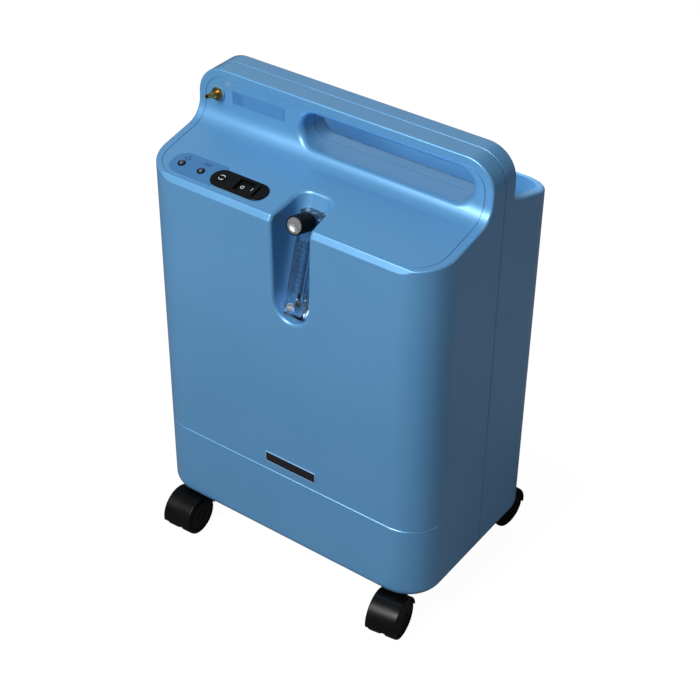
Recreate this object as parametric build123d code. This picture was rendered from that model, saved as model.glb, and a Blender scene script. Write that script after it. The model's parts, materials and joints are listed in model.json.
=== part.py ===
from build123d import *
import math
import os

os.makedirs("parts", exist_ok=True)

# ---------------------------------------------------------------- driving dimensions, mm
# +X is the machine's left to right seen from the front, -Y is its front and +Z is up.
# The origin is on the floor, under the middle of the footprint of the four casters.
WIDTH = 381.0
DEPTH = 241.0
HEIGHT = 584.0
WALL = 3.0
UNDERSIDE_Z = 55.5
FRONT_CORNER_R = 44.7
REAR_CORNER_R = 39.0
BOTTOM_R = 12.0

FACE_TOP_Z = 496.5            # top of the flat front face, where the bevel to the deck starts
BEVEL_RUN = 3.8
BEVEL_RISE = 6.9
DECK_SLOPE = 0.19             # rise of the control deck per mm towards the back
DECK_TO_RIDGE_R = 25.0
RIDGE_FRONT_LOW_Y = -17.5
RIDGE_FRONT_TOP_Y = -15.8
RIDGE_BACK_Y = 29.0
RIDGE_CORNER_R = 35.0
RIM_Z_AT_RIDGE = 523.5        # the rear rim slopes down from here
RIM_SLOPE = -0.285
RIDGE_FOOT_R = 8.0
REAR_EDGE_R = 4.0
FRONT_EDGE_R = 2.1

SEAM_Y = 7.4                  # the front and rear covers meet here
SEAM_GAP = 0.8
SEAM_BEVEL = 1.0               # the bevel runs from the outside to the middle of the gap
LIP_THICK = 1.6               # the rear cover's lip, inside the front cover's edge
LIP_GAP = 0.4
LIP_LENGTH = 6.0
BELT_Z = 158.5                # the shallow groove that runs all round the body
BELT_LIP = 0.5                # height of the groove's square upper part, above its sloping lower side
BELT_DEPTH = 1.1
BORDER = 9.6                  # band round the deck and the ridge face, marked off by a groove
BORDER_FRONT = 4.9
BORDER_W = 1.1
BORDER_DEPTH = 0.8

SLOT_X0, SLOT_X1 = -50.0, 165.0
SLOT_Z0, SLOT_Z1 = 529.5, 567.0
SLOT_EDGE_R = 7.5

TRAY_FLOOR_Z = 380.0
TRAY_WALL = 10.0
TRAY_FRONT_R = 6.0
BOTTLE_R = 39.0
BOTTLE_SEAT_DEPTH = 2.0

LEAN = 16.0                   # the flow meter and its recess lean back by this many degrees
RECESS_X = 12.8
RECESS_HALF = 21.5
RECESS_TAPER = 4.0
RECESS_BACK_Y, RECESS_BACK_Z = -67.0, 512.0
RECESS_LOW = -140.6
RECESS_ROUND = 14.0
RECESS_EDGE_R = 4.0

METER_X, METER_W, METER_DEEP = 13.0, 24.0, 15.0
METER_LOW, METER_TOP = -135.0, -16.0
TUBE_X, TUBE_LOW, TUBE_TOP, TUBE_R, TUBE_IN = 15.5, -115.0, -48.0, 4.3, 8.0
FLOAT_R = 3.6
KNOB_UP, KNOB_R, KNOB_LONG, KNOB_STEM_R = -26.0, 10.5, 24.0, 3.0
KNOB_GAP, CAP_DEPTH = 0.4, 2.0
SCREW_X, SCREW_UP = 10.0, -124.0
BARB_R, BARB_LONG, BARB_LOW, BARB_HIGH = 3.4, 20.0, -122.0, -34.0

PANEL_S = 21.6                # distance of the switches' centre line up the deck from its front edge
BEZEL_X, BEZEL_LONG, BEZEL_W, BEZEL_T = -71.5, 73.0, 26.8, 1.6
ROCKER_X, ROCKER_W, ROCKER_D, ROCKER_PIVOT = -61.0, 26.0, 17.0, -3.0
ROCKER_TILT = 9.0
BREAKER_X, BREAKER_R = -95.0, 5.5
LIGHTS = [(-150.5, 20.9), (-123.2, 20.3)]
LIGHT_R = 3.0
OUTLET_X, OUTLET_Z = -162.0, 554.6
OUTLET_TILT = 12.0
OUTLET_SEAT = 1.8             # height of the round seat under the outlet's nut

FAN_AT, FAN_SIZE, FAN_T = (105.0, -20.0, 250.0), 120.0, 25.0
COMPRESSOR_Y, SHAFT_Z = -10.0, 125.0
CRANK_X = (-6.0, 116.0)
CRANKCASE_DROP = 46.5
SHAFT_R, RUNNING = 6.0, 0.05
CANISTERS = [(-140.0, -45.0), (-140.0, 30.0)]
CANISTER_R, CANISTER_Z0, CANISTER_Z1 = 33.0, 78.0, 297.0

DOOR_X, DOOR_Z0, DOOR_Z1, DOOR_T = 55.0, 180.0, 330.0, 4.0
HINGE_X, HINGE_Y = -53.3, 118.4
FILTER_BOX_Y = 90.0
INLET_X, INLET_Z = 100.0, 105.0
SCREWS = [(x, z) for x in (-140.0, 140.0) for z in (95.0, 350.0)]
FLOOR_INSET, PAN_T = 8.0, 4.0  # the base pan fills the opening that starts this far in from the sides

SWIVEL_X, SWIVEL_Y, TRAIL = 150.0, 100.0, 20.0
WHEEL_R, HOOD_R, WHEEL_W, WHEEL_GAP = 25.0, 28.0, 16.0, 5.0
STEM_R, STEM_TOP, AXLE_R = 5.5, 78.0, 3.0
CASTERS = {                   # name: (x side, y side, turn from straight ahead in degrees)
    "front_left": (-1, -1, 2.4), "front_right": (1, -1, 7.5),
    "rear_left": (-1, 1, 7.5), "rear_right": (1, 1, -6.6),
}

HALF_W = WIDTH / 2
HALF_D = DEPTH / 2
DECK_Y0 = -HALF_D + BEVEL_RUN
DECK_Z0 = FACE_TOP_Z + BEVEL_RISE
LEAN_RAD = math.radians(LEAN)


def deck_z(y):
    return DECK_Z0 + DECK_SLOPE * (y - DECK_Y0)


def rim_z(y):
    return RIM_Z_AT_RIDGE + RIM_SLOPE * (y - RIDGE_BACK_Y)


# Working planes: local x is always +X, and local z points out of the surface.
DECK = Plane(origin=(0, DECK_Y0, DECK_Z0), x_dir=(1, 0, 0), z_dir=(0, -DECK_SLOPE, 1))
RIDGE_LEAN = (RIDGE_FRONT_TOP_Y - RIDGE_FRONT_LOW_Y) / (HEIGHT - deck_z(RIDGE_FRONT_LOW_Y))
RIDGE = Plane(origin=(0, RIDGE_FRONT_TOP_Y, HEIGHT), x_dir=(1, 0, 0), z_dir=(0, -1, RIDGE_LEAN))
METER = Plane(origin=(0, RECESS_BACK_Y, RECESS_BACK_Z), x_dir=(1, 0, 0),
              z_dir=(0, -math.cos(LEAN_RAD), math.sin(LEAN_RAD)))


def write(name, *shapes):
    """Writes one node: every solid of the shapes, in one STEP file."""
    solids = [solid for shape in shapes for solid in shape.solids()]
    export_step(solids[0] if len(solids) == 1 else Compound(children=solids), f"parts/{name}.step")


def box(x0, x1, y0, y1, z0, z1):
    return Pos((x0 + x1) / 2, (y0 + y1) / 2, (z0 + z1) / 2) * Box(x1 - x0, y1 - y0, z1 - z0)


def rod(start, end, radius, top_radius=None):
    """A round bar, or a cone, between two points."""
    start, end = Vector(*start), Vector(*end)
    base = Plane(origin=start, z_dir=end - start)
    low = (Align.CENTER, Align.CENTER, Align.MIN)
    if top_radius is None:
        return base * Cylinder(radius, (end - start).length, align=low)
    return base * Cone(radius, top_radius, (end - start).length, align=low)


def on_plane(plane, x, up, out):
    """The point of the part's frame at local x, up and out of a working plane."""
    point = plane.from_local_coords(Vector(x, up, out))
    return (point.X, point.Y, point.Z)


def hose(points, radii, radius):
    """A tube along straight runs joined by tangent arcs."""
    path = FilletPolyline(points, radius=radii)
    start = Plane(origin=path @ 0, z_dir=path % 0)
    print("hose radius", radius, "bends", radii, "length", round(path.length))
    return sweep(start * Circle(radius), path=path)


def edges_of(shape, wanted):
    """The edges whose middle point and box satisfy wanted(middle, box)."""
    return [edge for edge in shape.edges() if wanted(edge.position_at(0.5), edge.bounding_box())]


# ---------------------------------------------------------------- the outer body
def side_face(inset=0.0):
    """The body's outline seen from the side, in the YZ plane, shrunk by inset."""
    outline = [
        (-HALF_D, UNDERSIDE_Z), (-HALF_D, FACE_TOP_Z), (DECK_Y0, DECK_Z0),
        (RIDGE_FRONT_LOW_Y, deck_z(RIDGE_FRONT_LOW_Y)), (RIDGE_FRONT_TOP_Y, HEIGHT),
        (RIDGE_BACK_Y, HEIGHT), (RIDGE_BACK_Y, RIM_Z_AT_RIDGE),
        (HALF_D, rim_z(HALF_D)), (HALF_D, UNDERSIDE_Z),
    ]
    rounds = [0, 0, 0, DECK_TO_RIDGE_R, 0, 0, RIDGE_FOOT_R, 0, 0]
    face = make_face(FilletPolyline(outline, radius=rounds, close=True))
    if inset:
        face = offset(face, amount=-inset)
    return Plane.YZ * face


def plan_face(inset=0.0):
    """The body's outline seen from above."""
    hw, hd = HALF_W - inset, HALF_D - inset
    rounds = [FRONT_CORNER_R - inset] * 2 + [REAR_CORNER_R - inset] * 2
    return make_face(FilletPolyline(
        [(-hw, -hd), (hw, -hd), (hw, hd), (-hw, hd)], radius=rounds, close=True))


def front_face(inset=0.0):
    """The body's outline seen from the front, in the XZ plane."""
    hw, top = HALF_W - inset, RIDGE_CORNER_R - inset
    low, high = UNDERSIDE_Z + inset, HEIGHT - inset
    return Plane.XZ * make_face(FilletPolyline(
        [(-hw, low), (hw, low), (hw, high), (-hw, high)], radius=[0, 0, top, top], close=True))


def body_block(inset=0.0):
    """The body as one block, its underside rounded, every face moved in by inset."""
    long = extrude(side_face(inset), WIDTH, both=True)
    tall = extrude(plan_face(inset), HEIGHT + WIDTH)
    deep = extrude(front_face(inset), DEPTH, both=True)
    block = long & tall & deep
    floor = UNDERSIDE_Z + inset + 0.01
    return fillet(edges_of(block, lambda mid, b: b.max.Z < floor), BOTTOM_R - inset)


def slot_tool(grow=0.0):
    """The handle slot, through the ridge."""
    x0, x1, z0, z1 = SLOT_X0 - grow, SLOT_X1 + grow, SLOT_Z0 - grow, SLOT_Z1 + grow
    end_r = (z1 - z0) / 2 - 0.01
    outline = FilletPolyline([(x0, z0), (x1, z0), (x1, z1), (x0, z1)], radius=end_r, close=True)
    return extrude(Plane.XZ * make_face(outline), DEPTH / 3, both=True)


def tray_tool(grow=0.0):
    """The open pocket behind the ridge, where a humidifier bottle stands."""
    hw, y1 = HALF_W - TRAY_WALL + grow, HALF_D - TRAY_WALL + grow
    rear_r = REAR_CORNER_R - TRAY_WALL + grow
    front_r = TRAY_FRONT_R + grow
    outline = FilletPolyline(
        [(-hw, RIDGE_BACK_Y - grow), (hw, RIDGE_BACK_Y - grow), (hw, y1), (-hw, y1)],
        radius=[front_r, front_r, rear_r, rear_r], close=True)
    return extrude(Plane.XY.offset(TRAY_FLOOR_Z - grow) * make_face(outline), HEIGHT - TRAY_FLOOR_Z + 40)


def recess_tool(grow=0.0):
    """The leaning trough in the front, for the flow meter: a tapered U with a rounded back."""
    hw, low, high = RECESS_HALF + grow, RECESS_LOW - grow, 70.0
    back = METER.offset(-grow) * Pos(RECESS_X, 0, 0)
    outline = FilletPolyline([(-hw, low), (hw, low), (hw, high), (-hw, high)],
                             radius=[hw - 0.01, hw - 0.01, 0, 0], close=True)
    trough = extrude(back * make_face(outline), DEPTH / 2, taper=-RECESS_TAPER)
    depth_of = METER.offset(-grow)

    def at_back(mid, b):
        local = depth_of.to_local_coords(mid)
        return abs(local.Z) < 0.01 and local.Y < high - 10

    return fillet(edges_of(trough, at_back), RECESS_ROUND + grow)


def near_slot(mid):
    margin = SLOT_EDGE_R + 0.5
    return SLOT_X0 - margin < mid.X < SLOT_X1 + margin and SLOT_Z0 - margin < mid.Z < SLOT_Z1 + margin


def slot_mouths(mid, b):
    flat = b.max.Y - b.min.Y < 2.0 and (mid.Y < RIDGE_FRONT_TOP_Y + 1 or mid.Y > RIDGE_BACK_Y - 1)
    return flat and SLOT_X0 - 0.1 < mid.X < SLOT_X1 + 0.1 and SLOT_Z0 - 0.1 < mid.Z < SLOT_Z1 + 0.1


def recess_mouth(mid, b):
    on_front = abs(mid.Y + HALF_D) < 0.01
    on_deck = abs(mid.Z - deck_z(mid.Y)) < 0.02
    bevel = (mid.Y + HALF_D) * BEVEL_RISE - (mid.Z - FACE_TOP_Z) * BEVEL_RUN
    on_bevel = abs(bevel) < 0.05 and mid.Z > FACE_TOP_Z
    inside = b.min.X > RECESS_X - 40 and b.max.X < RECESS_X + 40 and b.max.Y < RECESS_BACK_Y + 5
    return inside and b.min.Z > 370 and (on_front or on_deck or on_bevel)


def ridge_corner(mid):
    """True on the ridge's top edge and on the rounded corners beside it."""
    reach = math.hypot(abs(mid.X) - (HALF_W - RIDGE_CORNER_R), mid.Z - (HEIGHT - RIDGE_CORNER_R))
    return mid.Z > HEIGHT - 0.1 or (abs(mid.X) > HALF_W - RIDGE_CORNER_R and reach > RIDGE_CORNER_R - 0.1)


def plan_corner(mid, radius, side):
    """True on the body's rounded corner in plan, at the front (side -1) or the back (side 1)."""
    dx = abs(mid.X) - (HALF_W - radius)
    dy = side * mid.Y - (HALF_D - radius)
    return dx > -0.1 and dy > -0.1 and abs(math.hypot(dx, dy) - radius) < 0.05


def rear_edges(mid, b):
    if b.min.Z < rim_z(HALF_D) - 1 or near_slot(mid):
        return False
    side = abs(abs(mid.X) - HALF_W) < 0.02 and b.max.X - b.min.X < 0.05 and b.min.Y > RIDGE_BACK_Y - 0.5
    back = abs(mid.Y - HALF_D) < 0.02
    top = abs(mid.Y - RIDGE_BACK_Y) < 0.05 and mid.Z > HEIGHT - RIDGE_CORNER_R - 1 and ridge_corner(mid)
    return side or back or top or plan_corner(mid, REAR_CORNER_R, 1)


def front_edges(mid, b):
    if b.min.Z < FACE_TOP_Z - 1 or near_slot(mid) or mid.Y > RIDGE_FRONT_TOP_Y + 0.5:
        return False
    side = abs(abs(mid.X) - HALF_W) < 0.02 and b.max.X - b.min.X < 0.05
    low_line = abs(mid.Y + HALF_D) < 0.02 and abs(mid.Z - FACE_TOP_Z) < 0.02
    high_line = abs(mid.Y - DECK_Y0) < 0.02 and abs(mid.Z - DECK_Z0) < 0.02
    top = mid.Z > HEIGHT - RIDGE_CORNER_R - 1 and ridge_corner(mid)
    return side or low_line or high_line or top or plan_corner(mid, FRONT_CORNER_R, -1)


def border_groove():
    """The fine groove that marks the band round the deck and the ridge face."""
    skin = extrude(side_face(), WIDTH, both=True) - extrude(side_face(BORDER_DEPTH), WIDTH, both=True)

    def deck_ring(inset):
        hw, y0, corner = HALF_W - inset, -HALF_D + inset - BORDER + BORDER_FRONT, FRONT_CORNER_R - inset
        outline = FilletPolyline([(-hw, y0), (hw, y0), (hw, 200), (-hw, 200)],
                                 radius=[corner, corner, 0, 0], close=True)
        return extrude(Plane.XY.offset(FACE_TOP_Z) * make_face(outline), 120)

    def ridge_ring(inset):
        hw, z1, corner = HALF_W - inset, HEIGHT - inset, RIDGE_CORNER_R - inset
        outline = FilletPolyline([(-hw, 0), (hw, 0), (hw, z1), (-hw, z1)],
                                 radius=[0, 0, corner, corner], close=True)
        return extrude(Plane.XZ * make_face(outline), 150)

    inner = BORDER + BORDER_W
    area = box(-HALF_W, HALF_W, -HALF_D - 1, RIDGE_FRONT_TOP_Y + 1, FACE_TOP_Z + 1, HEIGHT - 4)
    both = (deck_ring(BORDER) & ridge_ring(BORDER)) - (deck_ring(inner) & ridge_ring(inner))
    return both & skin & area


def belt_groove():
    """A groove with a flat top and a lower side that slopes at 45 degrees."""
    outer = extrude(plan_face(-2.0), BELT_DEPTH + BELT_LIP)
    slope = extrude(plan_face(), BELT_DEPTH, taper=45)
    core = extrude(plan_face(BELT_DEPTH), BELT_DEPTH + BELT_LIP)
    return Pos(0, 0, BELT_Z - BELT_DEPTH) * (outer - slope - core)


def seam_groove():
    """Small 45 degree bevels on the lips of the two covers where they meet."""
    outer = extrude(front_face(-2.0), SEAM_BEVEL, both=True)
    front_half = Pos(0, -SEAM_BEVEL, 0) * mirror(extrude(front_face(), SEAM_BEVEL, taper=45), Plane.XZ)
    rear_half = Pos(0, SEAM_BEVEL, 0) * extrude(front_face(), SEAM_BEVEL, taper=45)
    return Pos(0, SEAM_Y, 0) * (outer - front_half - rear_half)


def make_body():
    """The finished outside of the two covers together, and the hollow inside them."""
    outside = body_block() - tray_tool() - slot_tool()
    outside = fillet(edges_of(outside, slot_mouths), SLOT_EDGE_R)
    outside = outside - recess_tool()
    outside = fillet(edges_of(outside, recess_mouth), RECESS_EDGE_R)
    outside = fillet(edges_of(outside, rear_edges), REAR_EDGE_R)
    outside = fillet(edges_of(outside, front_edges), FRONT_EDGE_R)
    outside = outside - border_groove() - belt_groove() - seam_groove()
    tray_middle = (RIDGE_BACK_Y + HALF_D - TRAY_WALL) / 2
    outside -= Pos(0, tray_middle, TRAY_FLOOR_Z) * Cylinder(BOTTLE_R, 2 * BOTTLE_SEAT_DEPTH)
    inside = body_block(WALL) - slot_tool(WALL) - tray_tool(WALL + BOTTLE_SEAT_DEPTH) - recess_tool(WALL)
    return outside, inside


# ---------------------------------------------------------------- cuts that the fittings need
def deck_point(x, s, out=0.0):
    return on_plane(DECK, x, s, out)


def front_cuts():
    deck_hole = Pos(BEZEL_X, PANEL_S) * SlotOverall(BEZEL_LONG - 4, BEZEL_W - 4)
    cuts = [extrude(DECK * deck_hole, 12, both=True)]
    cuts += [rod(deck_point(x, s, -12), deck_point(x, s, 5), LIGHT_R + RUNNING) for x, s in LIGHTS]
    cuts.append(rod(outlet_point(-12), outlet_point(12), 4.1))
    for up in (BARB_LOW, BARB_HIGH):
        cuts.append(rod(on_plane(METER, METER_X, up, -10), on_plane(METER, METER_X, up, 5), BARB_R + 0.6))
    return cuts


def outlet_point(out):
    """A point on the outlet's axis, which points forward and a little up."""
    ridge_y = RIDGE_FRONT_TOP_Y - RIDGE_LEAN * (HEIGHT - OUTLET_Z)
    tilt = math.radians(OUTLET_TILT)
    return (OUTLET_X, ridge_y - out * math.cos(tilt), OUTLET_Z + out * math.sin(tilt))


def rear_additions():
    """The rear cover's lip, its screw bosses and the box that holds the air filter."""
    ring = front_face(WALL - 0.5) - front_face(WALL + LIP_GAP + LIP_THICK)
    root = extrude(ring, 3.0)
    root = Pos(0, SEAM_Y + SEAM_GAP / 2 + 3.0, 0) * root
    tongue = extrude(front_face(WALL + LIP_GAP) - front_face(WALL + LIP_GAP + LIP_THICK), LIP_LENGTH + 3.0)
    tongue = Pos(0, SEAM_Y + SEAM_GAP / 2 + 3.0, 0) * tongue
    lip = (root + tongue) & box(-HALF_W, HALF_W, -20, 30, 85, HEIGHT)
    bosses = [rod((x, HALF_D - 18, z), (x, HALF_D - 1, z), 7.0) for x, z in SCREWS]
    outer_box = box(-DOOR_X - 4, DOOR_X + 4, FILTER_BOX_Y, HALF_D - 1, DOOR_Z0 - 4, DOOR_Z1 + 7)
    return [lip, outer_box] + bosses


def rear_cuts():
    gap = 0.6
    door_hole = box(-DOOR_X - gap, DOOR_X + gap, HALF_D - DOOR_T - 2, HALF_D + 5,
                    DOOR_Z0 - gap, DOOR_Z1 + gap)
    filter_hole = box(-DOOR_X + 4, DOOR_X - 4, FILTER_BOX_Y + 2.5, HALF_D, DOOR_Z0 + 4, DOOR_Z1 - 4)
    cuts = [door_hole, filter_hole, rod((-6, FILTER_BOX_Y - 5, 240), (-6, FILTER_BOX_Y + 5, 240), 7)]
    for z in (DOOR_Z0, DOOR_Z1):
        cuts.append(rod((HINGE_X, HINGE_Y, z - 8), (HINGE_X, HINGE_Y, z + 8), 1.3))
    for x, z in SCREWS:
        cuts.append(rod((x, HALF_D - 4.5, z), (x, HALF_D + 2, z), 4.4))
        cuts.append(rod((x, HALF_D - 30, z), (x, HALF_D, z), 2.1))
    cuts.append(inlet_box(14, 10.5, -10, 5))
    for step in range(9):
        low = 84 + step * 8
        cuts.append(box(-120, -50, HALF_D - 8, HALF_D + 5, low, low + 3.5))
    return cuts


def make_covers():
    outside, inside = make_body()
    shell = outside - inside
    shell += rod(outlet_point(-WALL), outlet_point(OUTLET_SEAT), 8.4)
    shell -= extrude(Plane.XY.offset(UNDERSIDE_Z - 5) * plan_face(FLOOR_INSET), 12)
    reach = HEIGHT
    front = shell & box(-reach, reach, -reach, SEAM_Y - SEAM_GAP / 2, 0, 2 * reach)
    rear = shell & box(-reach, reach, SEAM_Y + SEAM_GAP / 2, reach, 0, 2 * reach)
    for cut in front_cuts():
        front -= cut
    for piece in rear_additions():
        rear += piece & outside
    for cut in rear_cuts():
        rear -= cut
    front = max(front.solids(), key=lambda solid: solid.volume)
    rear = max(rear.solids(), key=lambda solid: solid.volume)
    write("front_cover", front)
    write("rear_cover", rear)


def make_base_pan():
    plate = extrude(Plane.XY.offset(UNDERSIDE_Z) * plan_face(FLOOR_INSET + 0.4), PAN_T)
    plate = chamfer(edges_of(plate, lambda mid, b: b.max.Z < UNDERSIDE_Z + 0.01), 1.2)
    for sx, sy, _ in CASTERS.values():
        foot = (sx * SWIVEL_X, sy * SWIVEL_Y)
        plate += rod((*foot, UNDERSIDE_Z + 2), (*foot, STEM_TOP + 4), 11.0)
    for sx, sy, _ in CASTERS.values():
        foot = (sx * SWIVEL_X, sy * SWIVEL_Y)
        plate -= rod((*foot, UNDERSIDE_Z - 2), (*foot, STEM_TOP + 0.5), STEM_R + RUNNING)
    for step in range(8):
        plate -= box(-95, -25, -70 + step * 11, -65 + step * 11, UNDERSIDE_Z - 2, UNDERSIDE_Z + 8)
    write("base_pan", plate)


# ---------------------------------------------------------------- control deck
def make_panel():
    overlay = make_face(FilletPolyline([(-164, 5.8), (-99, 5.8), (-99, 39.5), (-164, 39.5)],
                                       radius=[15, 1, 1, 15], close=True))
    overlay = extrude(DECK * overlay, 0.4)
    bezel_room = Pos(BEZEL_X, PANEL_S) * SlotOverall(BEZEL_LONG + 0.6, BEZEL_W + 0.6)
    overlay -= extrude(DECK * bezel_room, 3, both=True)
    for x, s in LIGHTS:
        overlay -= rod(deck_point(x, s, -5), deck_point(x, s, 5), LIGHT_R + RUNNING)
    write("control_overlay", overlay)

    bezel = extrude(DECK * Pos(BEZEL_X, PANEL_S) * SlotOverall(BEZEL_LONG, BEZEL_W), BEZEL_T)
    top = edges_of(bezel, lambda mid, b: DECK.to_local_coords(mid).Z > BEZEL_T - 0.01)
    bezel = fillet(top, 0.8)
    window = Pos(ROCKER_X, PANEL_S) * Rectangle(ROCKER_W + 1.8, ROCKER_D + 1.0)
    bezel -= extrude(DECK * window, 8, both=True)
    bezel -= rod(deck_point(BREAKER_X, PANEL_S, -5), deck_point(BREAKER_X, PANEL_S, 5), BREAKER_R + 0.3)
    write("switch_bezel", bezel)

    # The rocker is a shallow V, and lies on its O side at rest.
    half = ROCKER_W / 2
    outline = [(-half, 0.8), (0, -0.6), (half, 0.8), (half - 2, -7), (-half + 2, -7)]
    pivot_plane = Plane(origin=deck_point(ROCKER_X, PANEL_S, 0), x_dir=(1, 0, 0), z_dir=DECK.y_dir * -1)
    rocker = extrude(pivot_plane * make_face(Polyline(*outline, close=True)), ROCKER_D / 2, both=True)
    pivot = deck_point(ROCKER_X, PANEL_S, ROCKER_PIVOT)
    rocker = rocker.rotate(Axis(pivot, tuple(DECK.y_dir)), -ROCKER_TILT)
    write("power_rocker", rocker)

    body = box_on(DECK, ROCKER_X, PANEL_S, ROCKER_W + 4.4, ROCKER_D + 4, -26, -0.2)
    body -= box_on(DECK, ROCKER_X, PANEL_S, ROCKER_W + 1.8, ROCKER_D + 1.0, -9.2, 1)
    for step in (-9, 0, 9):
        body += box_on(DECK, ROCKER_X + step, PANEL_S, 0.9, 6.3, -34, -25)
    write("power_switch_body", body)

    button = rod(deck_point(BREAKER_X, PANEL_S, -8), deck_point(BREAKER_X, PANEL_S, 2.0), BREAKER_R)
    write("breaker_button", button)
    breaker = rod(deck_point(BREAKER_X, PANEL_S, -26), deck_point(BREAKER_X, PANEL_S, -0.2), 8.0)
    breaker -= rod(deck_point(BREAKER_X, PANEL_S, -9), deck_point(BREAKER_X, PANEL_S, 1), BREAKER_R + 0.3)
    for step in (-4, 4):
        breaker += box_on(DECK, BREAKER_X + step, PANEL_S, 0.9, 6.3, -34, -25)
    write("breaker_body", breaker)

    lights = []
    for x, s in LIGHTS:
        stem = rod(deck_point(x, s, -7), deck_point(x, s, 0.4), LIGHT_R)
        dome = Pos(*deck_point(x, s, 0.4)) * Sphere(LIGHT_R - 0.4)
        lights.append(stem + dome)
    write("status_lights", *lights)


def box_on(plane, x, up, width, deep, out0, out1):
    """A box standing on a working plane, centred at x and up, from out0 to out1."""
    return extrude(plane.offset(out0) * Pos(x, up) * Rectangle(width, deep), out1 - out0)


def make_outlet():
    seat = Plane(origin=outlet_point(OUTLET_SEAT), x_dir=(1, 0, 0), z_dir=outlet_dir())
    nut = extrude(seat * RegularPolygon(7.6, 6), 3.4)
    nut -= rod(outlet_point(-1), outlet_point(6), 4.1)
    write("outlet_nut", nut)
    fitting = rod(outlet_point(-11), outlet_point(8), 4.0)
    fitting += rod(outlet_point(8), outlet_point(10), 4.0, 2.6)
    fitting += rod(outlet_point(9), outlet_point(21), 2.5)
    for base in (11.0, 14.5, 18.0):
        fitting += rod(outlet_point(base), outlet_point(base + 3.0), 3.3, 2.5)
    fitting -= rod(outlet_point(-12), outlet_point(22), 1.5)
    write("outlet_fitting", fitting)


def outlet_dir():
    tilt = math.radians(OUTLET_TILT)
    return (0, -math.cos(tilt), math.sin(tilt))


def make_plates():
    title = box_on(RIDGE, -107.5, 556.0 - HEIGHT, 71.0, 15.0, 0, 0.5)
    write("title_label", title)
    plate = box(-24.2, 44.8, -HALF_D - 0.8, -HALF_D, 171.1, 183.5)
    plate = fillet(plate.edges().filter_by(Axis.Y), 1.5)
    write("name_plate", plate)


# ---------------------------------------------------------------- flow meter
def meter_point(x, up, out):
    return on_plane(METER, x, up, out)


def knob_rod(out0, out1, radius):
    """A round bar on the knob's axis."""
    return rod(meter_point(METER_X, KNOB_UP, out0), meter_point(METER_X, KNOB_UP, out1), radius)


def screw_rod(out0, out1, radius):
    """A round bar on the axis of the screw at the foot of the flow meter."""
    return rod(meter_point(SCREW_X, SCREW_UP, out0), meter_point(SCREW_X, SCREW_UP, out1), radius)


def make_meter():
    middle = (METER_LOW + METER_TOP) / 2
    block = box_on(METER, METER_X, middle, METER_W, METER_TOP - METER_LOW, 0.3, METER_DEEP)
    block = fillet(block.edges(), 1.2) & recess_tool(-0.2)
    tube_low, tube_top = (meter_point(TUBE_X, up, TUBE_IN) for up in (TUBE_LOW, TUBE_TOP))
    block -= rod(tube_low, tube_top, TUBE_R, TUBE_R + 0.8)
    block -= knob_rod(4, METER_DEEP + 1, KNOB_STEM_R + RUNNING)
    block -= screw_rod(METER_DEEP - 8, METER_DEEP + 1, 2.5)
    write("flowmeter_body", block)

    write("flow_float", Pos(*meter_point(TUBE_X, TUBE_LOW + FLOAT_R + 0.3, TUBE_IN)) * Sphere(FLOAT_R))

    face = METER_DEEP + KNOB_GAP + KNOB_LONG
    knob = knob_rod(METER_DEEP + KNOB_GAP, face, KNOB_R)
    rims = edges_of(knob, lambda mid, b: METER.to_local_coords(mid).Z > METER_DEEP + KNOB_LONG - 1)
    knob = fillet(rims, 1.0)
    knob += knob_rod(5, METER_DEEP + 3, KNOB_STEM_R)
    knob -= knob_rod(face - CAP_DEPTH, face + 1, KNOB_R - 1.6)
    grips = 24
    for step in range(grips):
        angle = math.radians(step * 360 / grips)
        x, up = METER_X + KNOB_R * math.cos(angle), KNOB_UP + KNOB_R * math.sin(angle)
        knob -= rod(meter_point(x, up, METER_DEEP + 3), meter_point(x, up, face - 2.5), 0.55)
    write("flow_knob", knob)

    cap = knob_rod(face - CAP_DEPTH, face - 0.2, KNOB_R - 1.65)
    cap -= Pos(*meter_point(METER_X, KNOB_UP, face + 16)) * Sphere(17.4)
    write("knob_cap", cap)

    barbs = []
    for up in (BARB_LOW, BARB_HIGH):
        barb = rod(meter_point(METER_X, up, 0.25), meter_point(METER_X, up, -BARB_LONG), BARB_R)
        barb -= rod(meter_point(METER_X, up, 1), meter_point(METER_X, up, -BARB_LONG - 1), 1.5)
        barbs.append(barb)
    write("flowmeter_barbs", *barbs)

    screw = screw_rod(METER_DEEP - 7, METER_DEEP + 0.2, 2.4)
    screw += screw_rod(METER_DEEP + 0.1, METER_DEEP + 1.8, 4.4)
    screw -= box_on(METER, SCREW_X, SCREW_UP, 6.5, 1.0, METER_DEEP + 0.9, METER_DEEP + 3)
    write("meter_screw", screw)


# ---------------------------------------------------------------- rear fittings
def inlet_box(half_x, half_z, out0, out1):
    """A box centred on the mains inlet, between two distances out of the rear face."""
    return box(INLET_X - half_x, INLET_X + half_x, HALF_D + out0, HALF_D + out1,
               INLET_Z - half_z, INLET_Z + half_z)


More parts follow.
